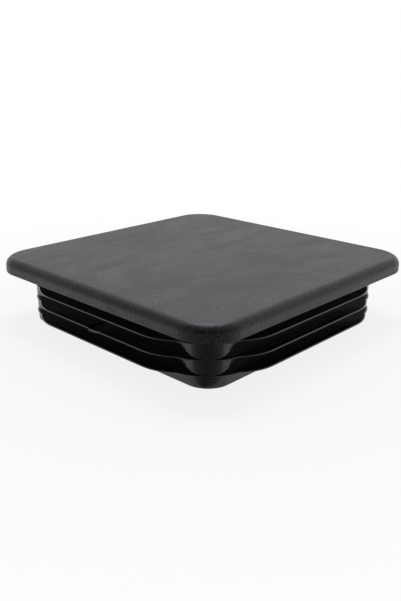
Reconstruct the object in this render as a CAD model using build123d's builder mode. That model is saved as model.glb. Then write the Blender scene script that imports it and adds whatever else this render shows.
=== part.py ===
from build123d import *
import os
from math import radians, tan

# End cap for the open end of a square steel tube, moulded in one piece.
#
# The flat head covers the cut end of the tube. The hollow plug below it is pushed into the
# tube, and finned rings round the plug grip the tube's inner faces. Each ring is a thin plate:
# along every side it reaches out as a flexible fin, which bends when the cap goes in, and round
# every corner it draws back to a low shoulder that follows the inner corner of the tube.
#
# Frame: +Z up, origin at the middle of the plug's bottom rim, sides along X and Y.
# Sizes are in millimetres and angles in degrees.

# Head
head_side = 100.0            # outside size of the square tube that the cap closes
head_thickness = 4.8
head_corner_radius = 11.8
head_top_round = 2.8         # the soft upper edge
head_lower_chamfer = 0.3     # the broken lower edge

# Plug: a square cup, open at the bottom
insert_depth = 17.2          # from the head's underside down to the rim
plug_side = 84.4             # outside of the wall, where it meets the head
plug_corner_radius = 8.4
plug_draft = 0.6             # the wall leans in towards the rim, to start in the tube
rim_chamfer = 0.5
wall_thickness = 2.2         # where the wall meets the head
plate_thickness = 3.0        # of the head, above the hollow
hollow_round = 1.0           # where the wall meets the plate, inside

# Finned rings
ring_count = 3
first_ring_drop = 3.7        # from the head's underside to the upper face of the first ring
ring_pitch = 4.67
fin_tip_thickness = 0.6
fin_tip_chamfer = 0.2
fin_underside_angle = 8.0    # the lower face slopes down towards the wall

# Outline of a ring
fin_reach = 5.6              # from the plug's wall out to a fin's tip
fin_end_setback = 20.3       # from the plug's corner along to where a fin's end starts to round
fin_end_radius = 16.5        # the rounded ends of a fin
shoulder_reach = 2.8         # from the plug's wall out to a shoulder
shoulder_radius = 16.2       # the inner corner radius of the tube
notch_radius = 1.2           # in the notch between a fin and a shoulder

# Worked out from the sizes above
plate_underside = insert_depth + head_thickness - plate_thickness
fin_straight = plug_side - 2 * fin_end_setback
fin_length = fin_straight + 2 * fin_end_radius
fin_span = plug_side + 2 * fin_reach
shoulder_span = plug_side + 2 * shoulder_reach
underside_drop = fin_reach * tan(radians(fin_underside_angle))
hollow_side = plug_side - 2 * wall_thickness
ring_tops = [insert_depth - first_ring_drop - i * ring_pitch for i in range(ring_count)]


def in_notch(corner, tolerance=0.001):
    """Whether a corner of the outline lies where a shoulder meets the rounded end of a fin."""
    along, across = sorted((abs(corner.X), abs(corner.Y)))
    from_end_centre = Vector(along - fin_straight / 2, across - fin_span / 2 + fin_end_radius)
    on_fin_end = abs(from_end_centre.length - fin_end_radius) < tolerance
    return on_fin_end and from_end_centre.X > tolerance


# Outline of a ring: two crossing plates with rounded ends carry the fins of the four sides,
# and a rounded square carries the shoulders of the four corners.
with BuildSketch() as ring_outline:
    RectangleRounded(fin_length, fin_span, fin_end_radius)
    RectangleRounded(fin_span, fin_length, fin_end_radius)
    RectangleRounded(shoulder_span, shoulder_span, shoulder_radius)
    fillet(ring_outline.vertices().filter_by(in_notch), notch_radius)

# One ring, with the top of its sloping underside at height 0 and the flat tip above that
with BuildPart() as ring:
    add(ring_outline.sketch)
    extrude(amount=-underside_drop, taper=90 - fin_underside_angle)
    extrude(ring_outline.sketch, amount=fin_tip_thickness)
    for height in (0, fin_tip_thickness):
        chamfer(ring.edges().filter_by_position(Axis.Z, height, height), fin_tip_chamfer)

with BuildPart() as end_cap:
    # The head, with its soft upper edge
    with BuildSketch(Plane.XY.offset(insert_depth)):
        RectangleRounded(head_side, head_side, head_corner_radius)
    extrude(amount=head_thickness)
    fillet(end_cap.edges().group_by(Axis.Z)[-1], head_top_round)
    chamfer(end_cap.edges().group_by(Axis.Z)[0], head_lower_chamfer)

    # The plug's wall, solid for now, leaning in on its way down from the head
    with BuildSketch(Plane.XY.offset(insert_depth)):
        RectangleRounded(plug_side, plug_side, plug_corner_radius)
    extrude(amount=-insert_depth, taper=plug_draft)
    chamfer(end_cap.edges().group_by(Axis.Z)[0], rim_chamfer)

    # The finned rings, one below the other
    with Locations([(0, 0, top - fin_tip_thickness) for top in ring_tops]):
        add(ring.part)

    # The hollow, open at the rim, reaching up into the head as far as its plate
    with BuildSketch():
        RectangleRounded(hollow_side, hollow_side, plug_corner_radius - wall_thickness)
    extrude(amount=plate_underside, mode=Mode.SUBTRACT)
    fillet(end_cap.edges(Select.LAST).group_by(Axis.Z)[-1], hollow_round)

end_cap.part.label = "end_cap"

os.makedirs("parts", exist_ok=True)
export_step(end_cap.part, "parts/end_cap.step")
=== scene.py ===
# %% [markdown]
# # A moulded end cap for a square tube
# A plastic cap closes the open end of a square steel tube. Its flat head covers the cut edge, and
# the hollow plug below the head is pushed into the tube, where three rings of thin fins bend and
# grip. The whole cap is one shot of black plastic, so here it is one closed mesh.
#
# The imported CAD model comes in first, as a fixed frame. Everything below is placed in that frame,
# in metres, with the plug's rim on the ground and +Z up.

import math

import bpy
from mathutils import Matrix, Vector


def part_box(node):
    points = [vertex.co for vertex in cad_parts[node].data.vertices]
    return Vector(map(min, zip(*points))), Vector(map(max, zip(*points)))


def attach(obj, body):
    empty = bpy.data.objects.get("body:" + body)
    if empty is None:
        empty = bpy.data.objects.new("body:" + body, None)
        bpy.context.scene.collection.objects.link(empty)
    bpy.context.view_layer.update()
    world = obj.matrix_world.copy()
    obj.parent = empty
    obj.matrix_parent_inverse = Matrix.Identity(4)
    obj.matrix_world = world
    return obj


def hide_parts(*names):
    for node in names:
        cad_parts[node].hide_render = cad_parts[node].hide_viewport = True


MM = 0.001

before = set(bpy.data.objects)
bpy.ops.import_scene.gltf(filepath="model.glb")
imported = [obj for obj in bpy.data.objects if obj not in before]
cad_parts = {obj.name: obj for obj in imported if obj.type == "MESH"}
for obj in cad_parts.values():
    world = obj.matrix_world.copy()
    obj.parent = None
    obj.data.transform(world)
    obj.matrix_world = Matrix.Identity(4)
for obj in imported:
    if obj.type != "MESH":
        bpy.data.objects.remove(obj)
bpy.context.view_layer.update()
low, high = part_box("end_cap")
print("end_cap from", [round(v / MM, 2) for v in low], "to", [round(v / MM, 2) for v in high], "mm")

# %% [markdown]
# ## Sizes of the cap
# A moulding is made to its drawing. Sizes could be typed in where they are used, but then the
# head, the plug and the hollow would no longer fit each other once one of them changed, so each
# size is named once. The head's side and the full height are read from the frame. The others are
# those of the mould, in millimetres, and heights count from the plug's rim.

# %% Sizes of the cap
head_side = (high.x - low.x) / MM
cap_height = (high.z - low.z) / MM
insert_depth = 17.2          # from the rim up to the head's underside
head_corner_radius = 11.8
head_top_round = 2.8
head_lower_round = 0.3

plug_side = 84.4             # where the wall meets the head
plug_corner_radius = 7.8
plug_draft = math.radians(0.6)
rim_round = 0.5
wall_thickness = 2.2
hollow_height = 19.0         # from the rim up to the plate of the head
hollow_round = 1.0
print("head", round(head_side, 2), "mm square, cap", round(cap_height, 2), "mm high")

# %% [markdown]
# ## Loops and lofts
# The head and the plug are squares with rounded corners whose outline only grows or shrinks with
# height. Each is a stack of outlines with the same number of points, joined into a skin and closed
# at both ends. A rounded edge is a quarter circle of outlines, so its curve is exact and it can be
# as fine as the eye needs, which a bevel on a finished box can't promise at the corners.

# %% Loops and lofts
CORNER_STEPS = 18


def rounded_square(side, radius, inset=0.0):
    """Points of a square with rounded corners, anticlockwise, drawn in by inset."""
    centre = side / 2 - radius
    reach = radius - inset
    points = []
    for quarter in range(4):
        middle = Vector((centre, centre))
        middle.rotate(Matrix.Rotation(quarter * math.pi / 2, 2))
        for step in range(CORNER_STEPS + 1):
            turn = (quarter + step / CORNER_STEPS) * math.pi / 2
            points.append(middle + reach * Vector((math.cos(turn), math.sin(turn))))
    return points


def quarter_round(radius, steps):
    """(inset, drop) pairs of a quarter circle, from the side of a block to its end face."""
    turns = [step / steps * math.pi / 2 for step in range(steps + 1)]
    return [(radius * (1 - math.cos(t)), radius * (1 - math.sin(t))) for t in turns]


def loft(name, loops, material):
    """A closed mesh object from (points, height) loops, listed from the bottom up."""
    count = len(loops[0][0])
    corners = [(p.x * MM, p.y * MM, height * MM) for points, height in loops for p in points]
    faces = [tuple(reversed(range(count)))]
    for level in range(len(loops) - 1):
        start = level * count
        for i in range(count):
            j = (i + 1) % count
            faces.append((start + i, start + j, start + count + j, start + count + i))
    faces.append(tuple(range((len(loops) - 1) * count, len(loops) * count)))
    mesh = bpy.data.meshes.new(name)
    mesh.from_pydata(corners, [], faces)
    mesh.materials.append(material)
    piece = bpy.data.objects.new(name, mesh)
    bpy.context.scene.collection.objects.link(piece)
    print(name, "has", len(corners), "points and", len(faces), "faces")
    return piece


print("an outline has", len(rounded_square(head_side, head_corner_radius)), "points")

# %% [markdown]
# ## Colours and nodes
# Colours are written as sRGB hex values, as on a colour card, and turned to linear light once,
# because that is what shaders reckon with. A node tree could be drawn by hand in the editor, but
# a script can be read, changed and run again. One function adds a node, sets its properties and
# then fills or links its inputs, so each node below reads as one entry.

# %% Colours and nodes
WHITE = "#ffffff"
COLOUR_A = 6                 # inputs and output of a Mix node that mixes colours
COLOUR_B = 7
MIXED_COLOUR = 2


def linear(hex_colour):
    """An sRGB hex colour as linear RGBA."""
    parts = [int(hex_colour[i:i + 2], 16) / 255 for i in (1, 3, 5)]
    return [p / 12.92 if p <= 0.04045 else ((p + 0.055) / 1.055) ** 2.4 for p in parts] + [1.0]


def add_node(tree, kind, settings=None, inputs=None):
    """Adds a node. An input is a value, or an output socket to link."""
    node = tree.nodes.new(kind)
    for name, value in (settings or {}).items():
        setattr(node, name, value)
    for key, value in (inputs or {}).items():
        if isinstance(value, bpy.types.NodeSocket):
            tree.links.new(value, node.inputs[key])
        else:
            node.inputs[key].default_value = value
    return node


def new_material(name):
    """An empty material, and its node tree."""
    material = bpy.data.materials.new(name)
    material.use_nodes = True
    material.node_tree.nodes.clear()
    return material, material.node_tree


print("middle grey, #808080, is", round(linear("#808080")[0], 3), "in linear light")

# %% [markdown]
# ## Dust and a painted sheen on the head
# A cap that has been handled carries a few pale specks of dust. Along the rim of the -X side, a
# pale band is a painted sheen, in place of the light that this edge catches from behind. Both could
# be painted into a picture, or the specks laid on as tiny pieces. Masks by place do as well, and
# they leave the mesh clean. A speck is all that lies within its size of a named point, and the
# sheen is a band along one rim, broken up by the clouds of the wipe marks.

# %% Dust and painted sheen
DUST_SPECKS = [              # x, y, z and size of each, in millimetres
    (1.1, -49.9, 21.0, 0.4),
    (13.0, -49.9, 21.0, 0.35),
    (23.6, -43.7, 22.0, 0.45),
    (39.6, -34.4, 22.0, 0.4),
    (49.0, -17.3, 21.9, 0.4),
    (1.9, -3.9, 22.0, 0.5),
    (-13.2, -36.4, 22.0, 0.4),
]
SHEEN_FULL_X = -49.0          # full painted sheen out from here, and none further in than the next
SHEEN_END_X = -45.5


def dust(tree, position):
    """A mask of the specks of dust, each one solid at its middle and soft at its edge."""
    mask = 0.0
    for x, y, z, size in DUST_SPECKS:
        away = add_node(tree, "ShaderNodeVectorMath", {"operation": "DISTANCE"}, {
            0: position, 1: (x * MM, y * MM, z * MM)}).outputs["Value"]
        speck = add_node(tree, "ShaderNodeMapRange", None, {
            "Value": away, "From Min": 0.5 * size * MM, "From Max": size * MM,
            "To Min": 1.0, "To Max": 0.0}).outputs["Result"]
        mask = add_node(tree, "ShaderNodeMath", {"operation": "MAXIMUM"}, {
            0: speck, 1: mask}).outputs[0]
    return mask


def painted_rim_sheen(tree, position, clouds):
    """A mask of the painted sheen along the rim of the -X side, in place of the light it catches.
    """
    across = add_node(tree, "ShaderNodeSeparateXYZ", None, {0: position}).outputs["X"]
    near_rim = add_node(tree, "ShaderNodeMapRange", None, {
        "Value": across, "From Min": SHEEN_FULL_X * MM, "From Max": SHEEN_END_X * MM,
        "To Min": 1.0, "To Max": 0.0}).outputs["Result"]
    patchy = add_node(tree, "ShaderNodeMapRange", None, {
        "Value": clouds, "From Min": 0.3, "From Max": 0.6,
        "To Min": 0.2, "To Max": 1.0}).outputs["Result"]
    return add_node(tree, "ShaderNodeMath", {"operation": "MULTIPLY"}, {
        0: near_rim, 1: patchy}).outputs[0]


# the haze printed here is the painted sheen band along the -X rim
print("dust:", len(DUST_SPECKS), "specks, haze", round(SHEEN_END_X + head_side / 2, 2), "mm wide")

# %% [markdown]
# ## Colour of the head
# Moulded black plastic isn't one colour. The sparks that shape the mould leave pits in it, so the
# plastic has a grain of small bumps, and the ground between them is painted darker, as painted
# shade in the hollows of the grain. Hands and cloths then leave cloudy marks, drawn out in the
# direction they were wiped. The colour is built up in that order, from the painted shade between
# the bumps, past a painted sheen along one rim, to the dust on top, so each layer can be changed by
# itself.

# %% Colour of the head
# painted shade: the black laid into the hollows between the grain's bumps
PIT_SHADE_BLACK = "#050505"
WIPED_DARK = "#242423"
WIPED_PALE = "#333230"
# painted sheen: the pale grey of the band along the -X rim
SHEEN_GREY = "#5a5954"
DUST_GREY = "#6e6d68"


def head_colour(tree, position, grain, clouds):
    """The layers of colour on the head, from painted shade in its pits up to the dust."""
    tone = add_node(tree, "ShaderNodeMapRange", None, {
        "Value": clouds, "From Min": 0.35, "From Max": 0.65}).outputs["Result"]
    bumps = add_node(tree, "ShaderNodeMapRange", None, {
        "Value": grain, "From Min": 0.35, "From Max": 0.65}).outputs["Result"]
    wiped = add_node(tree, "ShaderNodeMix", {"data_type": "RGBA"}, {
        "Factor": tone, COLOUR_A: linear(WIPED_DARK), COLOUR_B: linear(WIPED_PALE)})
    # painted shade: the low parts of the grain are darkened towards black
    pit_shaded = add_node(tree, "ShaderNodeMix", {"data_type": "RGBA"}, {
        "Factor": bumps, COLOUR_A: linear(PIT_SHADE_BLACK), COLOUR_B: wiped.outputs[MIXED_COLOUR]})
    # painted sheen: the rim band is mixed in over the plastic
    sheened = add_node(tree, "ShaderNodeMix", {"data_type": "RGBA"}, {
        "Factor": painted_rim_sheen(tree, position, clouds), COLOUR_A: pit_shaded.outputs[MIXED_COLOUR],
        COLOUR_B: linear(SHEEN_GREY)})
    dusty = add_node(tree, "ShaderNodeMix", {"data_type": "RGBA"}, {
        "Factor": dust(tree, position), COLOUR_A: sheened.outputs[MIXED_COLOUR],
        COLOUR_B: linear(DUST_GREY)})
    return dusty.outputs[MIXED_COLOUR]


print("the head's plastic runs from", WIPED_DARK, "to", WIPED_PALE)

# %% [markdown]
# ## Material of the head: matt, spark-eroded polyethylene
# Such caps are injection moulded from black low-density polyethylene. The mould is spark eroded
# where the head is formed, so the head comes out with a fine even grain that scatters light, and
# black plastic then looks dark grey. Wipe marks change how rough the surface is as well as its
# colour. An image of such a surface would need a file and would repeat. Noise at real sizes is
# free of both.
#
# The grain is about 0.1 mm on a real cap, too fine to show in the render, so it is drawn at 0.8 mm.

# %% Material of the head
GRAIN_SIZE = 0.8             # millimetres, as are the next two
GRAIN_DEPTH = 0.12
CLOUD_SIZE = 11.0
WIPE_DIRECTION = math.radians(-8)
WIPE_STRETCH = 0.35
POLYETHYLENE_IOR = 1.51


def grained_plastic():
    """Black polyethylene with a fine matt grain, as the head has it."""
    material, tree = new_material("polyethylene_spark_eroded_black")
    position = add_node(tree, "ShaderNodeTexCoord").outputs["Object"]
    grain = add_node(tree, "ShaderNodeTexNoise", None, {
        "Vector": position, "Scale": 1 / (GRAIN_SIZE * MM), "Detail": 3.0,
        "Roughness": 0.6}).outputs["Fac"]
    strokes = add_node(tree, "ShaderNodeMapping", None, {
        "Vector": position, "Rotation": (0, 0, WIPE_DIRECTION), "Scale": (1, WIPE_STRETCH, 1)})
    clouds = add_node(tree, "ShaderNodeTexNoise", None, {
        "Vector": strokes.outputs[0], "Scale": 1 / (CLOUD_SIZE * MM), "Detail": 4.0,
        "Roughness": 0.62, "Distortion": 0.9}).outputs["Fac"]
    roughness = add_node(tree, "ShaderNodeMapRange", None, {
        "Value": clouds, "From Min": 0.3, "From Max": 0.7, "To Min": 0.50, "To Max": 0.40})
    bump = add_node(tree, "ShaderNodeBump", None, {
        "Strength": 0.8, "Distance": GRAIN_DEPTH * MM, "Height": grain})
    plastic = add_node(tree, "ShaderNodeBsdfPrincipled", None, {
        "Base Color": head_colour(tree, position, grain, clouds),
        "Roughness": roughness.outputs["Result"], "Normal": bump.outputs["Normal"],
        "IOR": POLYETHYLENE_IOR})
    add_node(tree, "ShaderNodeOutputMaterial", None, {"Surface": plastic.outputs["BSDF"]})
    return material


head_plastic = grained_plastic()
print("material", head_plastic.name, "with", len(head_plastic.node_tree.nodes), "nodes")

# %% [markdown]
# ## Material of the plug: polished polyethylene
# The plug and its fins are formed by the milled and polished side of the mould, which makes them
# come out of it easily. So they are glossy and nearly black: only where they mirror something
# bright do they show at all. An even gloss would look like glass, so slight waves from the flow of
# the plastic bend those reflections, and patches are a little duller than the rest.

# %% Material of the plug
POLISHED_BLACK = "#040404"
POLISHED_PALE = "#070707"
WAVE_SIZE = 5.0              # millimetres, as are the next two
WAVE_DEPTH = 0.06
PATCH_SIZE = 9.0


def polished_plastic():
    """Black polyethylene with a smooth gloss, as the plug and the fins have it."""
    material, tree = new_material("polyethylene_polished_black")
    position = add_node(tree, "ShaderNodeTexCoord").outputs["Object"]
    waves = add_node(tree, "ShaderNodeTexNoise", None, {
        "Vector": position, "Scale": 1 / (WAVE_SIZE * MM), "Detail": 1.0}).outputs["Fac"]
    patches = add_node(tree, "ShaderNodeTexNoise", None, {
        "Vector": position, "Scale": 1 / (PATCH_SIZE * MM), "Detail": 3.0,
        "Roughness": 0.6}).outputs["Fac"]
    colour = add_node(tree, "ShaderNodeMix", {"data_type": "RGBA"}, {
        "Factor": patches, COLOUR_A: linear(POLISHED_BLACK), COLOUR_B: linear(POLISHED_PALE)})
    roughness = add_node(tree, "ShaderNodeMapRange", None, {
        "Value": patches, "From Min": 0.3, "From Max": 0.7, "To Min": 0.09, "To Max": 0.16})
    bump = add_node(tree, "ShaderNodeBump", None, {
        "Strength": 0.3, "Distance": WAVE_DEPTH * MM, "Height": waves})
    plastic = add_node(tree, "ShaderNodeBsdfPrincipled", None, {
        "Base Color": colour.outputs[MIXED_COLOUR], "Roughness": roughness.outputs["Result"],
        "Normal": bump.outputs["Normal"], "IOR": POLYETHYLENE_IOR})
    add_node(tree, "ShaderNodeOutputMaterial", None, {"Surface": plastic.outputs["BSDF"]})
    return material


plug_plastic = polished_plastic()
print("material", plug_plastic.name, "with", len(plug_plastic.node_tree.nodes), "nodes")

# %% [markdown]
# ## The head
# A square plate with rounded corners. Its upper edge is soft to the hand, and its lower edge is
# only broken, because it meets the cut end of the tube. A box with two bevels would come close,
# but the loft's quarter circles keep both edges round at the corners too.

# %% The head
head_loops = []
for inset, drop in reversed(quarter_round(head_lower_round, steps=4)):
    head_loops.append((rounded_square(head_side, head_corner_radius, inset), insert_depth + drop))
for inset, drop in quarter_round(head_top_round, steps=14):
    head_loops.append((rounded_square(head_side, head_corner_radius, inset), cap_height - drop))
head = loft("head", head_loops, head_plastic)

# %% [markdown]
# ## The plug
# The plug's wall leans in by a little more than half a degree on its way down, so that it leaves
# the mould and starts in the tube. It could be made as a thin wall, but a solid block is simpler
# to join to the head and the rings without a seam. It reaches up into the head for that, and the
# hollow is cut out of everything at the end.

# %% The plug
ROOT_OVERLAP = 1.0           # how far the plug reaches up into the head

lean = math.tan(plug_draft)
plug_loops = []
for inset, rise in reversed(quarter_round(rim_round, steps=5)):
    drawn_in = inset + (insert_depth - rise) * lean
    plug_loops.append((rounded_square(plug_side, plug_corner_radius, drawn_in), rise))
for height in (insert_depth, insert_depth + ROOT_OVERLAP):
    plug_loops.append((rounded_square(plug_side, plug_corner_radius), height))
plug = loft("plug", plug_loops, plug_plastic)

# %% [markdown]
# ## The hollow
# Thick plastic cools slowly and sinks, so the plug is hollow and open at the rim. The hollow is
# upright, with small rounds where the wall meets the plate of the head. A Solidify modifier could
# make the wall too, but it would follow the rings outside. A block that is cut away leaves the
# inside plain, and it starts below the rim so that it cuts cleanly through it.

# %% The hollow
CUT_OVERLAP = 1.0            # how far the cutting block reaches out below the rim

hollow_side = plug_side - 2 * wall_thickness
hollow_corner = plug_corner_radius - wall_thickness
hollow_loops = [(rounded_square(hollow_side, hollow_corner), -CUT_OVERLAP)]
for inset, drop in quarter_round(hollow_round, steps=5):
    hollow_loops.append((rounded_square(hollow_side, hollow_corner, inset), hollow_height - drop))
hollow = loft("hollow", hollow_loops, plug_plastic)

# %% [markdown]
# ## Circles that touch
# Seen from above, a ring is a chain of straight lines and arcs. It could be drawn by eye, but the
# small arc in the notch between a fin and a shoulder has to touch both of them, and its centre is
# where two larger circles meet. Three short functions work that out.

# %% Circles that touch
def outer_meeting(first, first_radius, second, second_radius):
    """Where two circles meet, on the right of the line from the first centre to the second."""
    line = second - first
    along = (first_radius ** 2 - second_radius ** 2 + line.length_squared) / (2 * line.length)
    aside = math.sqrt(first_radius ** 2 - along ** 2)
    ahead = line.normalized()
    return first + along * ahead + aside * Vector((ahead.y, -ahead.x))


def bearing(start, end):
    """The direction from one point to another, as an angle between 0 and a full turn."""
    angle = math.atan2(end.y - start.y, end.x - start.x)
    return angle + 2 * math.pi if angle < 0 else angle


def arc(centre, radius, start, end, step):
    """Points along an arc, about one step apart, both ends included."""
    count = max(2, round(abs(end - start) * radius / step))
    turns = [start + (end - start) * i / count for i in range(count + 1)]
    return [centre + radius * Vector((math.cos(t), math.sin(t))) for t in turns]


meeting = outer_meeting(Vector((0, 0)), 5, Vector((6, 0)), 5)
print("two circles of 5 mm, 6 mm apart, meet at", [round(v, 2) for v in meeting])

# %% [markdown]
# ## Outline of a finned ring
# A ring reaches out along each side as a flexible fin with rounded ends. At each corner it draws
# back to a low shoulder that follows the inner corner of the tube. All eight half sides are alike,
# so one eighth of the outline is worked out, then mirrored and turned, which keeps the ring true.

# %% Outline of a finned ring
fin_half_span = 47.8         # from the middle of the cap out to a fin's tip
fin_half_straight = 21.5
fin_end_radius = 16.5
shoulder_half_span = 44.6
shoulder_radius = 16.2
notch_radius = 1.2

STRAIGHT_STEPS = 36
ARC_STEP = 0.8               # millimetres between the points of an arc
NOTCH_STEP = 0.25


def ring_outline():
    """The outline of a ring, anticlockwise, from the middle of the +X side."""
    fin_centre = Vector((fin_half_span - fin_end_radius, fin_half_straight))
    middle = shoulder_half_span - shoulder_radius
    shoulder_centre = Vector((middle, middle))
    notch = outer_meeting(fin_centre, fin_end_radius + notch_radius,
                          shoulder_centre, shoulder_radius + notch_radius)
    eighth = [Vector((fin_half_span, fin_half_straight * i / STRAIGHT_STEPS))
              for i in range(STRAIGHT_STEPS)]
    eighth += arc(fin_centre, fin_end_radius, 0, bearing(fin_centre, notch), ARC_STEP)
    eighth += arc(notch, notch_radius, bearing(notch, fin_centre),
                  bearing(notch, shoulder_centre), NOTCH_STEP)[1:]
    eighth += arc(shoulder_centre, shoulder_radius, bearing(shoulder_centre, notch),
                  math.pi / 4, ARC_STEP)[1:]
    quarter = eighth + [Vector((p.y, p.x)) for p in reversed(eighth[1:-1])]
    points = []
    for turn in range(4):
        spin = Matrix.Rotation(turn * math.pi / 2, 2)
        points += [spin @ p for p in quarter]
    return points


outline = ring_outline()
corner_span = 2 * max(min(p.x, p.y) for p in outline)
print("outline of a ring:", len(outline), "points,", round(corner_span, 2), "mm between corners")

# %% [markdown]
# ## Section of a ring
# A ring is a thin plate whose underside slopes down towards the wall, so that the fin bends
# upwards when the cap goes in, and its tip is rounded by the mould. The section is drawn by nodes
# from named sizes: X points outwards, with the tip at 0, and Y points down. A sketched profile
# would look the same, but then its sizes couldn't be set from outside the tree.

# %% Section of a ring
TIP_ROUND_STEPS = 3


def ring_section(tree, given):
    """The section of a ring as a closed curve with rounded corners."""
    inward = add_node(tree, "ShaderNodeMath", {"operation": "MULTIPLY"}, {
        0: given["Depth"], 1: -1.0}).outputs[0]
    tip_low = add_node(tree, "ShaderNodeCombineXYZ", None, {"Y": given["Tip Thickness"]})
    root_low = add_node(tree, "ShaderNodeCombineXYZ", None, {
        "X": inward, "Y": given["Root Thickness"]})
    root_high = add_node(tree, "ShaderNodeCombineXYZ", None, {"X": inward})
    section = add_node(tree, "GeometryNodeCurvePrimitiveQuadrilateral", {"mode": "POINTS"}, {
        "Point 1": (0, 0, 0), "Point 2": tip_low.outputs[0],
        "Point 3": root_low.outputs[0], "Point 4": root_high.outputs[0]})
    return add_node(tree, "GeometryNodeFilletCurve", {"mode": "POLY"}, {
        "Curve": section.outputs["Curve"], "Radius": given["Tip Round"],
        "Limit Radius": True, "Count": TIP_ROUND_STEPS}).outputs[0]


print("a rounded corner of the section has", TIP_ROUND_STEPS, "steps")

# %% [markdown]
# ## The three rings, by Geometry Nodes
# Every ring has the same section and the same outline. Three meshes could be built point by point,
# but a section swept along an outline and then repeated is what a node tree does best: it sweeps
# the section once, and sets the result at each height of a line of points.

# %% The node tree of the rings
RING_INPUTS = {
    "Ring Count": "NodeSocketInt",
    "Top Height": "NodeSocketFloat",
    "Pitch": "NodeSocketFloat",
    "Depth": "NodeSocketFloat",
    "Tip Thickness": "NodeSocketFloat",
    "Root Thickness": "NodeSocketFloat",
    "Tip Round": "NodeSocketFloat",
}


def ring_tree(material):
    """A tree that sweeps the section along a curve and repeats it downwards."""
    tree = bpy.data.node_groups.new("finned_rings", "GeometryNodeTree")
    interface = tree.interface
    interface.new_socket("Geometry", in_out="INPUT", socket_type="NodeSocketGeometry")
    for name, kind in RING_INPUTS.items():
        interface.new_socket(name, in_out="INPUT", socket_type=kind)
    interface.new_socket("Geometry", in_out="OUTPUT", socket_type="NodeSocketGeometry")
    given = add_node(tree, "NodeGroupInput").outputs

    upright = add_node(tree, "GeometryNodeSetCurveNormal", {"mode": "Z_UP"}, {
        "Curve": given["Geometry"]})
    swept = add_node(tree, "GeometryNodeCurveToMesh", None, {
        "Curve": upright.outputs[0], "Profile Curve": ring_section(tree, given)})
    start = add_node(tree, "ShaderNodeCombineXYZ", None, {"Z": given["Top Height"]})
    down = add_node(tree, "ShaderNodeMath", {"operation": "MULTIPLY"}, {
        0: given["Pitch"], 1: -1.0})
    step = add_node(tree, "ShaderNodeCombineXYZ", None, {"Z": down.outputs[0]})
    levels = add_node(tree, "GeometryNodeMeshLine", {"mode": "OFFSET"}, {
        "Count": given["Ring Count"], "Start Location": start.outputs[0],
        "Offset": step.outputs[0]})
    rings = add_node(tree, "GeometryNodeInstanceOnPoints", None, {
        "Points": levels.outputs[0], "Instance": swept.outputs[0]})
    real = add_node(tree, "GeometryNodeRealizeInstances", None, {"Geometry": rings.outputs[0]})
    coloured = add_node(tree, "GeometryNodeSetMaterial", None, {
        "Geometry": real.outputs[0], "Material": material})
    add_node(tree, "NodeGroupOutput", None, {"Geometry": coloured.outputs[0]})
    return tree


ring_nodes = ring_tree(plug_plastic)
print("node tree", ring_nodes.name, "has", len(ring_nodes.nodes), "nodes")

# %% [markdown]
# ## Sizes of the rings
# The rings sit evenly down the plug. Each reaches well into the wall, so that the two join, and its
# root is as much thicker than its tip as the slope of the underside makes it. The sizes could be
# written into the tree. As its inputs they stay in view, and the same tree can make other rings.

# %% Sizes of the rings
ring_count = 3
first_ring_drop = 3.7        # from the head's underside to the top of the first ring
ring_pitch = 4.67
ring_depth = 7.0             # from a fin's tip inwards
fin_underside_angle = math.radians(8.0)
tip_thickness = 0.6
tip_round = 0.26
root_thickness = tip_thickness + ring_depth * math.tan(fin_underside_angle)

ring_sizes = {
    "Ring Count": ring_count,
    "Top Height": (insert_depth - first_ring_drop) * MM,
    "Pitch": ring_pitch * MM,
    "Depth": ring_depth * MM,
    "Tip Thickness": tip_thickness * MM,
    "Root Thickness": root_thickness * MM,
    "Tip Round": tip_round * MM,
}
print("ring:", tip_thickness, "mm thick at its tip,", round(root_thickness, 2), "mm at its root")

# %% [markdown]
# ## From the tree to a plain mesh
# The outline becomes a closed curve that carries the tree as a modifier. The tree's inputs are set
# by their identifiers, before Blender looks at the object for the first time. A live modifier would
# do for a picture, but the rings are still to be joined to the plug, so the result is copied to a
# plain mesh, and the curve goes.

# %% The three rings
def plain_mesh(name, piece):
    """A plain mesh object with what the modifiers of a piece make. The piece is removed."""
    depsgraph = bpy.context.evaluated_depsgraph_get()
    mesh = bpy.data.meshes.new_from_object(piece.evaluated_get(depsgraph),
                                           preserve_all_data_layers=True, depsgraph=depsgraph)
    bpy.data.objects.remove(piece)
    result = bpy.data.objects.new(name, mesh)
    bpy.context.scene.collection.objects.link(result)
    return result


def finned_rings(points, tree, sizes):
    """The rings that a tree makes along an outline, as one plain mesh object."""
    curve = bpy.data.curves.new("ring_outline", "CURVE")
    curve.dimensions = "3D"
    spline = curve.splines.new("POLY")
    spline.points.add(len(points) - 1)
    for curve_point, p in zip(spline.points, points):
        curve_point.co = (p.x * MM, p.y * MM, 0, 1)
    spline.use_cyclic_u = True
    guide = bpy.data.objects.new("ring_guide", curve)
    bpy.context.scene.collection.objects.link(guide)
    modifier = guide.modifiers.new("rings", "NODES")
    modifier.node_group = tree
    sockets = {s.name: s.identifier for s in tree.interface.items_tree if s.in_out == "INPUT"}
    for name, value in sizes.items():
        modifier[sockets[name]] = value
    return plain_mesh("rings", guide)


rings = finned_rings(outline, ring_nodes, ring_sizes)
reach = [max(v.co[axis] for v in rings.data.vertices) / MM for axis in range(3)]
print("rings:", len(rings.data.polygons), "faces, reach", [round(r, 2) for r in reach], "mm")

# %% [markdown]
# ## A bent fin tip
# Fins this thin are easily bent before the cap is used. Here a short stretch of the second ring's
# tip droops, sharply at one end and gently out to the other. Shading could hint at it, but a bend
# changes the edge that is seen, so the points of the mesh are moved.

# %% A bent fin tip
bend_start = -1.4            # where it droops most, along X on the -Y side
bend_end = 3.1
bend_drop = 0.25
LOWER_EDGE_SHARE = 2.4       # how many times further the tip's lower edge droops
NEAR_TIP = 1.0               # points this near to the tip move with it


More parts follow.
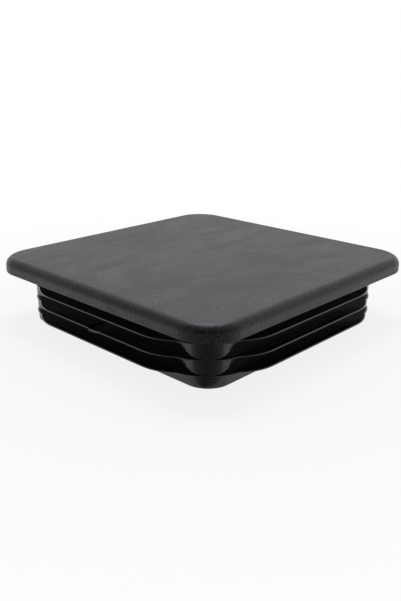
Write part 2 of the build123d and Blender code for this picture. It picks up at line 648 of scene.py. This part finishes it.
def bend_tip(mesh, tip_height):
    """Bends the stretch of a fin's tip on the -Y side down. Returns how many points moved."""
    moved = 0
    for v in mesh.vertices:
        x, y, z = v.co / MM
        at_tip = y < NEAR_TIP - fin_half_span and abs(z - tip_height) < NEAR_TIP
        if bend_start < x < bend_end and at_tip:
            share = 1 - (x - bend_start) / (bend_end - bend_start)
            lower = LOWER_EDGE_SHARE if z < tip_height - tip_thickness / 2 else 1.0
            v.co.z -= bend_drop * share ** 0.5 * lower * MM
            moved += 1
    return moved


second_ring_top = insert_depth - first_ring_drop - ring_pitch
print("bent tip:", bend_tip(rings.data, second_ring_top), "points moved")

# %% [markdown]
# ## One closed moulding
# The real cap is one piece of plastic. The head, the plug and the rings could be left as they are,
# pushed into each other, but then there would be walls inside the plastic. They are joined, and
# the hollow is cut out, with exact booleans, so the cap is one watertight skin. Its volume tells
# whether that worked: it is positive if the skin is closed and faces outwards.

# %% One closed moulding
CM = 0.01                    # metres


def volume(mesh):
    """The volume inside a closed mesh, in cubic centimetres, from its triangles."""
    mesh.calc_loop_triangles()
    total = 0.0
    for triangle in mesh.loop_triangles:
        a, b, c = (mesh.vertices[i].co for i in triangle.vertices)
        total += a.dot(b.cross(c)) / 6
    return total / CM ** 3


def combine(base, others):
    """Joins pieces to a base, or cuts them from it, and returns a plain mesh object."""
    for piece, operation in others:
        change = base.modifiers.new(piece.name, "BOOLEAN")
        change.solver = "EXACT"
        change.operation = operation
        change.object = piece
        change.material_mode = "TRANSFER"
    result = plain_mesh("moulded_cap", base)
    for piece, _ in others:
        bpy.data.objects.remove(piece)
    return result


print("rings:", round(volume(rings.data), 2), "cm3")
cap = combine(head, [(plug, "UNION"), (rings, "UNION"), (hollow, "DIFFERENCE")])
print("cap:", len(cap.data.polygons), "faces,", round(volume(cap.data), 2), "cm3")

# %% [markdown]
# ## Finish of each face
# The two halves of the mould leave two finishes. The line between them is the head's lower edge,
# so a face takes the grained finish if it belongs to the top or the edge of the head, and the
# polished one everywhere else. The booleans carry the pieces' materials over as well, but they
# would leave the head's underside grained, so faces are sorted by where they lie.

# %% Finish of each face
GRAINED = 0                  # slots of the two finishes
POLISHED = 1
TOLERANCE = 0.01             # millimetres


def on_head_outside(face):
    """Whether a face is on the top or the edge of the head, and not on its underside."""
    inside_hollow = max(abs(face.center.x), abs(face.center.y)) < hollow_side / 2 * MM
    below_plate = face.center.z < (hollow_height + TOLERANCE) * MM
    above_underside = face.center.z > (insert_depth + TOLERANCE) * MM
    return above_underside and not (inside_hollow and below_plate)


cap.data.materials.clear()
cap.data.materials.append(head_plastic)
cap.data.materials.append(plug_plastic)
for face in cap.data.polygons:
    face.material_index = GRAINED if on_head_outside(face) else POLISHED
grained = sum(face.material_index == GRAINED for face in cap.data.polygons)
print("grained faces:", grained, "of", len(cap.data.polygons))

# %% [markdown]
# ## Shading
# The cap's large faces are flat and its edges are rounded. Smooth shading alone would bend the
# light across the flat faces near each edge. Edges that turn sharply stay sharp, and weighted
# normals let the large faces decide, so they look flat right up to their rounded edges.

# %% Shading
SHARP_ANGLE = math.radians(38)

cap.data.shade_smooth()
cap.data.set_sharp_from_angle(angle=SHARP_ANGLE)
weighted = cap.modifiers.new("weighted_normals", "WEIGHTED_NORMAL")
weighted.keep_sharp = True
cap.name = "cap_before_normals"
cap = plain_mesh("moulded_cap", cap)
sharp = sum(edge.use_edge_sharp for edge in cap.data.edges)
print("sharp edges:", sharp, "of", len(cap.data.edges))

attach(cap, "root")
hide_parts("end_cap")

# %% [markdown]
# ## Floor
# The cap stands on a wide white table. Lamps strong enough to turn a table white would wash out
# the black plastic too, so the floor is white by itself, to the eye and in reflections. Near the
# cap a part of its brightness comes from the light that falls on it, which keeps the cap's soft
# shadow. Further out it glows evenly, so no horizon shows.

# %% Floor
FLOOR_RADIUS = 3.0           # metres, as are the two distances below
SHADOW_FULL = 0.07           # the shadow counts fully up to here, and not at all past its end
SHADOW_END = 0.17
GLOW_AT_CAP = 0.85
TABLE_PAINT = "#f4f4f4"


def table_white():
    """White that glows for the eye and in reflections, and takes a shadow near the cap."""
    material, tree = new_material("table_white")
    path = add_node(tree, "ShaderNodeLightPath").outputs
    seen = path["Is Camera Ray"]
    for ray in ("Is Glossy Ray", "Is Transmission Ray"):
        seen = add_node(tree, "ShaderNodeMath", {"operation": "MAXIMUM"}, {
            0: seen, 1: path[ray]}).outputs[0]
    position = add_node(tree, "ShaderNodeTexCoord").outputs["Object"]
    away = add_node(tree, "ShaderNodeVectorMath", {"operation": "LENGTH"}, {
        0: position}).outputs["Value"]
    glow = add_node(tree, "ShaderNodeMapRange", None, {
        "Value": away, "From Min": SHADOW_FULL, "From Max": SHADOW_END,
        "To Min": GLOW_AT_CAP, "To Max": 1.0}).outputs["Result"]
    share = add_node(tree, "ShaderNodeMath", {"operation": "MULTIPLY"}, {0: seen, 1: glow})
    lit = add_node(tree, "ShaderNodeBsdfDiffuse", None, {"Color": linear(TABLE_PAINT)})
    even = add_node(tree, "ShaderNodeEmission", None, {"Color": linear(WHITE)})
    surface = add_node(tree, "ShaderNodeMixShader", None, {
        0: share.outputs[0], 1: lit.outputs[0], 2: even.outputs[0]})
    add_node(tree, "ShaderNodeOutputMaterial", None, {"Surface": surface.outputs[0]})
    return material


def round_floor(radius, sides):
    """A round, flat floor at height 0."""
    turns = [2 * math.pi * i / sides for i in range(sides)]
    rim = [(radius * math.cos(t), radius * math.sin(t), 0) for t in turns]
    mesh = bpy.data.meshes.new("floor")
    mesh.from_pydata(rim, [], [tuple(range(sides))])
    mesh.materials.append(table_white())
    floor = bpy.data.objects.new("floor", mesh)
    bpy.context.scene.collection.objects.link(floor)
    return floor


floor = round_floor(FLOOR_RADIUS, sides=96)
print("floor", [round(v, 2) for v in floor.dimensions], "m")

# %% [markdown]
# ## A dark card that paints shade into the front corner's reflections
# In a studio, dark cards are laid beside a glossy black object to draw its edges in its own
# reflections. Here the card stands in for shade before the front corner: it glows an even dark
# grey, and only reflections see it, so it paints a dark reflection into the corner. Without it, the
# plug's front corner would mirror only the white floor and look pale. Dark paint on the floor would
# show, so the card lies just above the table. It starts at the corner and fades out to both sides,
# so it has no edge.

# %% Material of the card
FRONT_TURN = math.radians(-46.3)
FRONT = Vector((math.cos(FRONT_TURN), math.sin(FRONT_TURN), 0))
ACROSS = Vector((-math.sin(FRONT_TURN), math.cos(FRONT_TURN), 0))
CORNER_REACH = 0.0565        # from the middle of the cap to the card's point, in metres
# painted shade: the glow of the card, which the corner mirrors in place of shade
SHADE_CARD_GREY = "#7a7a7e"
FULL_SLOPE = 0.3             # aside over ahead: full cover up to this, and none past the next
CLEAR_SLOPE = 6.0


def painted_shade_card_grey():
    """Glowing grey along the middle, a painted dark reflection, and clear to both sides of the
    corner.
    """
    material, tree = new_material("painted_shade_card_grey")
    position = add_node(tree, "ShaderNodeTexCoord").outputs["Object"]
    sideways = add_node(tree, "ShaderNodeVectorMath", {"operation": "DOT_PRODUCT"}, {
        0: position, 1: ACROSS}).outputs["Value"]
    forwards = add_node(tree, "ShaderNodeVectorMath", {"operation": "DOT_PRODUCT"}, {
        0: position, 1: FRONT}).outputs["Value"]
    aside = add_node(tree, "ShaderNodeMath", {"operation": "ABSOLUTE"}, {0: sideways})
    ahead = add_node(tree, "ShaderNodeMath", {"operation": "SUBTRACT"}, {
        0: forwards, 1: CORNER_REACH})
    slope = add_node(tree, "ShaderNodeMath", {"operation": "DIVIDE"}, {
        0: aside.outputs[0], 1: ahead.outputs[0]})
    cover = add_node(tree, "ShaderNodeMapRange", None, {
        "Value": slope.outputs[0], "From Min": FULL_SLOPE, "From Max": CLEAR_SLOPE,
        "To Min": 1.0, "To Max": 0.0}).outputs["Result"]
    clear = add_node(tree, "ShaderNodeBsdfTransparent")
    # the card glows this grey, a painted dark reflection for the corner
    grey = add_node(tree, "ShaderNodeEmission", None, {"Color": linear(SHADE_CARD_GREY)})
    surface = add_node(tree, "ShaderNodeMixShader", None, {
        0: cover, 1: clear.outputs[0], 2: grey.outputs[0]})
    add_node(tree, "ShaderNodeOutputMaterial", None, {"Surface": surface.outputs[0]})
    return material


shade_card = painted_shade_card_grey()
print("material", shade_card.name, "runs out at", round(math.degrees(FRONT_TURN), 1), "degrees")

# %% [markdown]
# The card itself is one flat face. It could be turned into place as an object, but its material
# reckons with the frame's own axes, so its corners are worked out along the two directions.

# %% The card
CARD_START = CORNER_REACH + 0.0003    # just past the point, where the slope has no value
CARD_END = 0.4
CARD_HALF_WIDTH = 0.3
CARD_HEIGHT = 0.0003


def front_shade_card():
    """The card that paints a dark reflection into the front corner, seen by reflections alone."""
    corners = [FRONT * ahead + ACROSS * aside + Vector((0, 0, CARD_HEIGHT))
               for ahead, aside in ((CARD_START, -CARD_HALF_WIDTH), (CARD_END, -CARD_HALF_WIDTH),
                                    (CARD_END, CARD_HALF_WIDTH), (CARD_START, CARD_HALF_WIDTH))]
    mesh = bpy.data.meshes.new("front_shade_card")
    mesh.from_pydata(corners, [], [(0, 1, 2, 3)])
    mesh.materials.append(shade_card)
    card = bpy.data.objects.new("front_shade_card", mesh)
    card.visible_camera = False
    card.visible_diffuse = False
    card.visible_shadow = False
    bpy.context.scene.collection.objects.link(card)
    return card


card = front_shade_card()
print("card", [round(v, 2) for v in card.dimensions], "m")

# %% [markdown]
# ## Sky
# Black plastic shows mostly what it mirrors, so the sky matters more than the lamp does. The cap
# stands with a bright wall behind it and a dark room before it, which leaves the top pale and the
# two near sides nearly black. A ready-made image of a studio could be wrapped round the scene. A
# strength by direction gives the same with a few numbers, and a brighter haze low down draws the
# edges. The tint goes from a little warm behind to a little cool before. To the eye the sky is
# plain white.

# %% Sky
SKY_TURN = FRONT_TURN - math.radians(8)
DARK_WAY = (math.cos(SKY_TURN), math.sin(SKY_TURN), 0)
SKY_BEHIND = 0.77
SKY_BEFORE = 0.06
LOW_HAZE = 1.45              # times as bright near the horizon
WARM_WHITE = "#fffff8"
COOL_WHITE = "#f6f8ff"


def studio_sky():
    """A world with one strength behind the cap and another before its front corner."""
    world = bpy.data.worlds.new("studio_sky")
    world.use_nodes = True
    tree = world.node_tree
    tree.nodes.clear()
    way = add_node(tree, "ShaderNodeTexCoord").outputs["Generated"]
    forward = add_node(tree, "ShaderNodeVectorMath", {"operation": "DOT_PRODUCT"}, {
        0: way, 1: DARK_WAY}).outputs["Value"]
    level = add_node(tree, "ShaderNodeMapRange", {"interpolation_type": "SMOOTHSTEP"}, {
        "Value": forward, "From Min": -0.9, "From Max": 0.7,
        "To Min": SKY_BEHIND, "To Max": SKY_BEFORE})
    height = add_node(tree, "ShaderNodeSeparateXYZ", None, {0: way}).outputs["Z"]
    haze = add_node(tree, "ShaderNodeMapRange", None, {
        "Value": height, "From Min": 0.1, "From Max": 0.45, "To Min": LOW_HAZE, "To Max": 1.0})
    strength = add_node(tree, "ShaderNodeMath", {"operation": "MULTIPLY"}, {
        0: level.outputs["Result"], 1: haze.outputs["Result"]})
    cool = add_node(tree, "ShaderNodeMapRange", None, {
        "Value": forward, "From Min": -1.0, "From Max": 0.3})
    tint = add_node(tree, "ShaderNodeMix", {"data_type": "RGBA"}, {
        "Factor": cool.outputs["Result"], COLOUR_A: linear(WARM_WHITE),
        COLOUR_B: linear(COOL_WHITE)})
    light = add_node(tree, "ShaderNodeBackground", None, {
        "Color": tint.outputs[MIXED_COLOUR], "Strength": strength.outputs[0]})
    white = add_node(tree, "ShaderNodeBackground", None, {"Color": linear(WHITE)})
    path = add_node(tree, "ShaderNodeLightPath").outputs
    surface = add_node(tree, "ShaderNodeMixShader", None, {
        0: path["Is Camera Ray"], 1: light.outputs[0], 2: white.outputs[0]})
    add_node(tree, "ShaderNodeOutputWorld", None, {"Surface": surface.outputs[0]})
    return world


bpy.context.scene.world = studio_sky()
print("sky: strength", SKY_BEHIND, "behind the cap and", SKY_BEFORE, "before it")

# %% [markdown]
# ## Lamp
# The sky has no bright spot, so by itself it would leave the soft edge of the head dull. One lamp,
# above the cap and a little behind it, gives that edge its highlight. A spot or a sun would draw a
# hard line there. A square lamp half as wide as it is far away gives a broad sheen instead.

# %% Lamp
LAMP_PLACE = Vector((-0.21, 0.22, 0.87))    # metres, as is its size
LAMP_SIZE = 0.45
LAMP_WATTS = 4.2
LAMP_TINT = "#e9edff"

lamp_data = bpy.data.lights.new("lamp_above", "AREA")
lamp_data.size = LAMP_SIZE
lamp_data.energy = LAMP_WATTS
lamp_data.color = linear(LAMP_TINT)[:3]
lamp = bpy.data.objects.new("lamp_above", lamp_data)
lamp.location = LAMP_PLACE
towards_cap = Vector((0, 0, cap_height * MM / 2)) - LAMP_PLACE
lamp.rotation_euler = towards_cap.to_track_quat("-Z", "Y").to_euler()
bpy.context.scene.collection.objects.link(lamp)
print("lamp", round(towards_cap.length, 2), "m from the middle of the cap")

# %% [markdown]
# ## Camera
# The camera looks down on one corner of the cap from close by, so the near sides show their depth.
# It could be aimed by hand. Here its place is written as the direction that it looks from and a
# distance, and as how far the cap's middle is from the middle of the frame, because each of those
# can be changed without upsetting the others.

# %% Camera
azimuth = math.radians(43.725)
elevation = math.radians(19.464)
roll = math.radians(0.254)
distance = 230.483           # from the middle of the cap, at the head's underside
aside = 1.021                # how far that point lies to the right of the frame's middle
above = 11.034               # and above it
focal_length = 40.844
sensor_height = 36

back = Vector((math.sin(azimuth) * math.cos(elevation),
               -math.cos(azimuth) * math.cos(elevation),
               math.sin(elevation)))
level = Vector((math.cos(azimuth), math.sin(azimuth), 0))
upright = back.cross(level)
side_axis = math.cos(roll) * level + math.sin(roll) * upright
up_axis = back.cross(side_axis)
place = Vector((0, 0, insert_depth)) - aside * side_axis - above * up_axis + distance * back

camera_data = bpy.data.cameras.new("camera")
camera_data.sensor_fit = "VERTICAL"
camera_data.sensor_height = sensor_height
camera_data.lens = focal_length
camera = bpy.data.objects.new("camera", camera_data)
bpy.context.scene.collection.objects.link(camera)
axes = Matrix((side_axis, up_axis, back)).transposed()
camera.matrix_world = Matrix.Translation(place * MM) @ axes.to_4x4()
bpy.context.scene.camera = camera
bpy.context.scene.view_settings.view_transform = "Standard"
print("camera at", [round(v, 4) for v in camera.matrix_world.translation], "m")
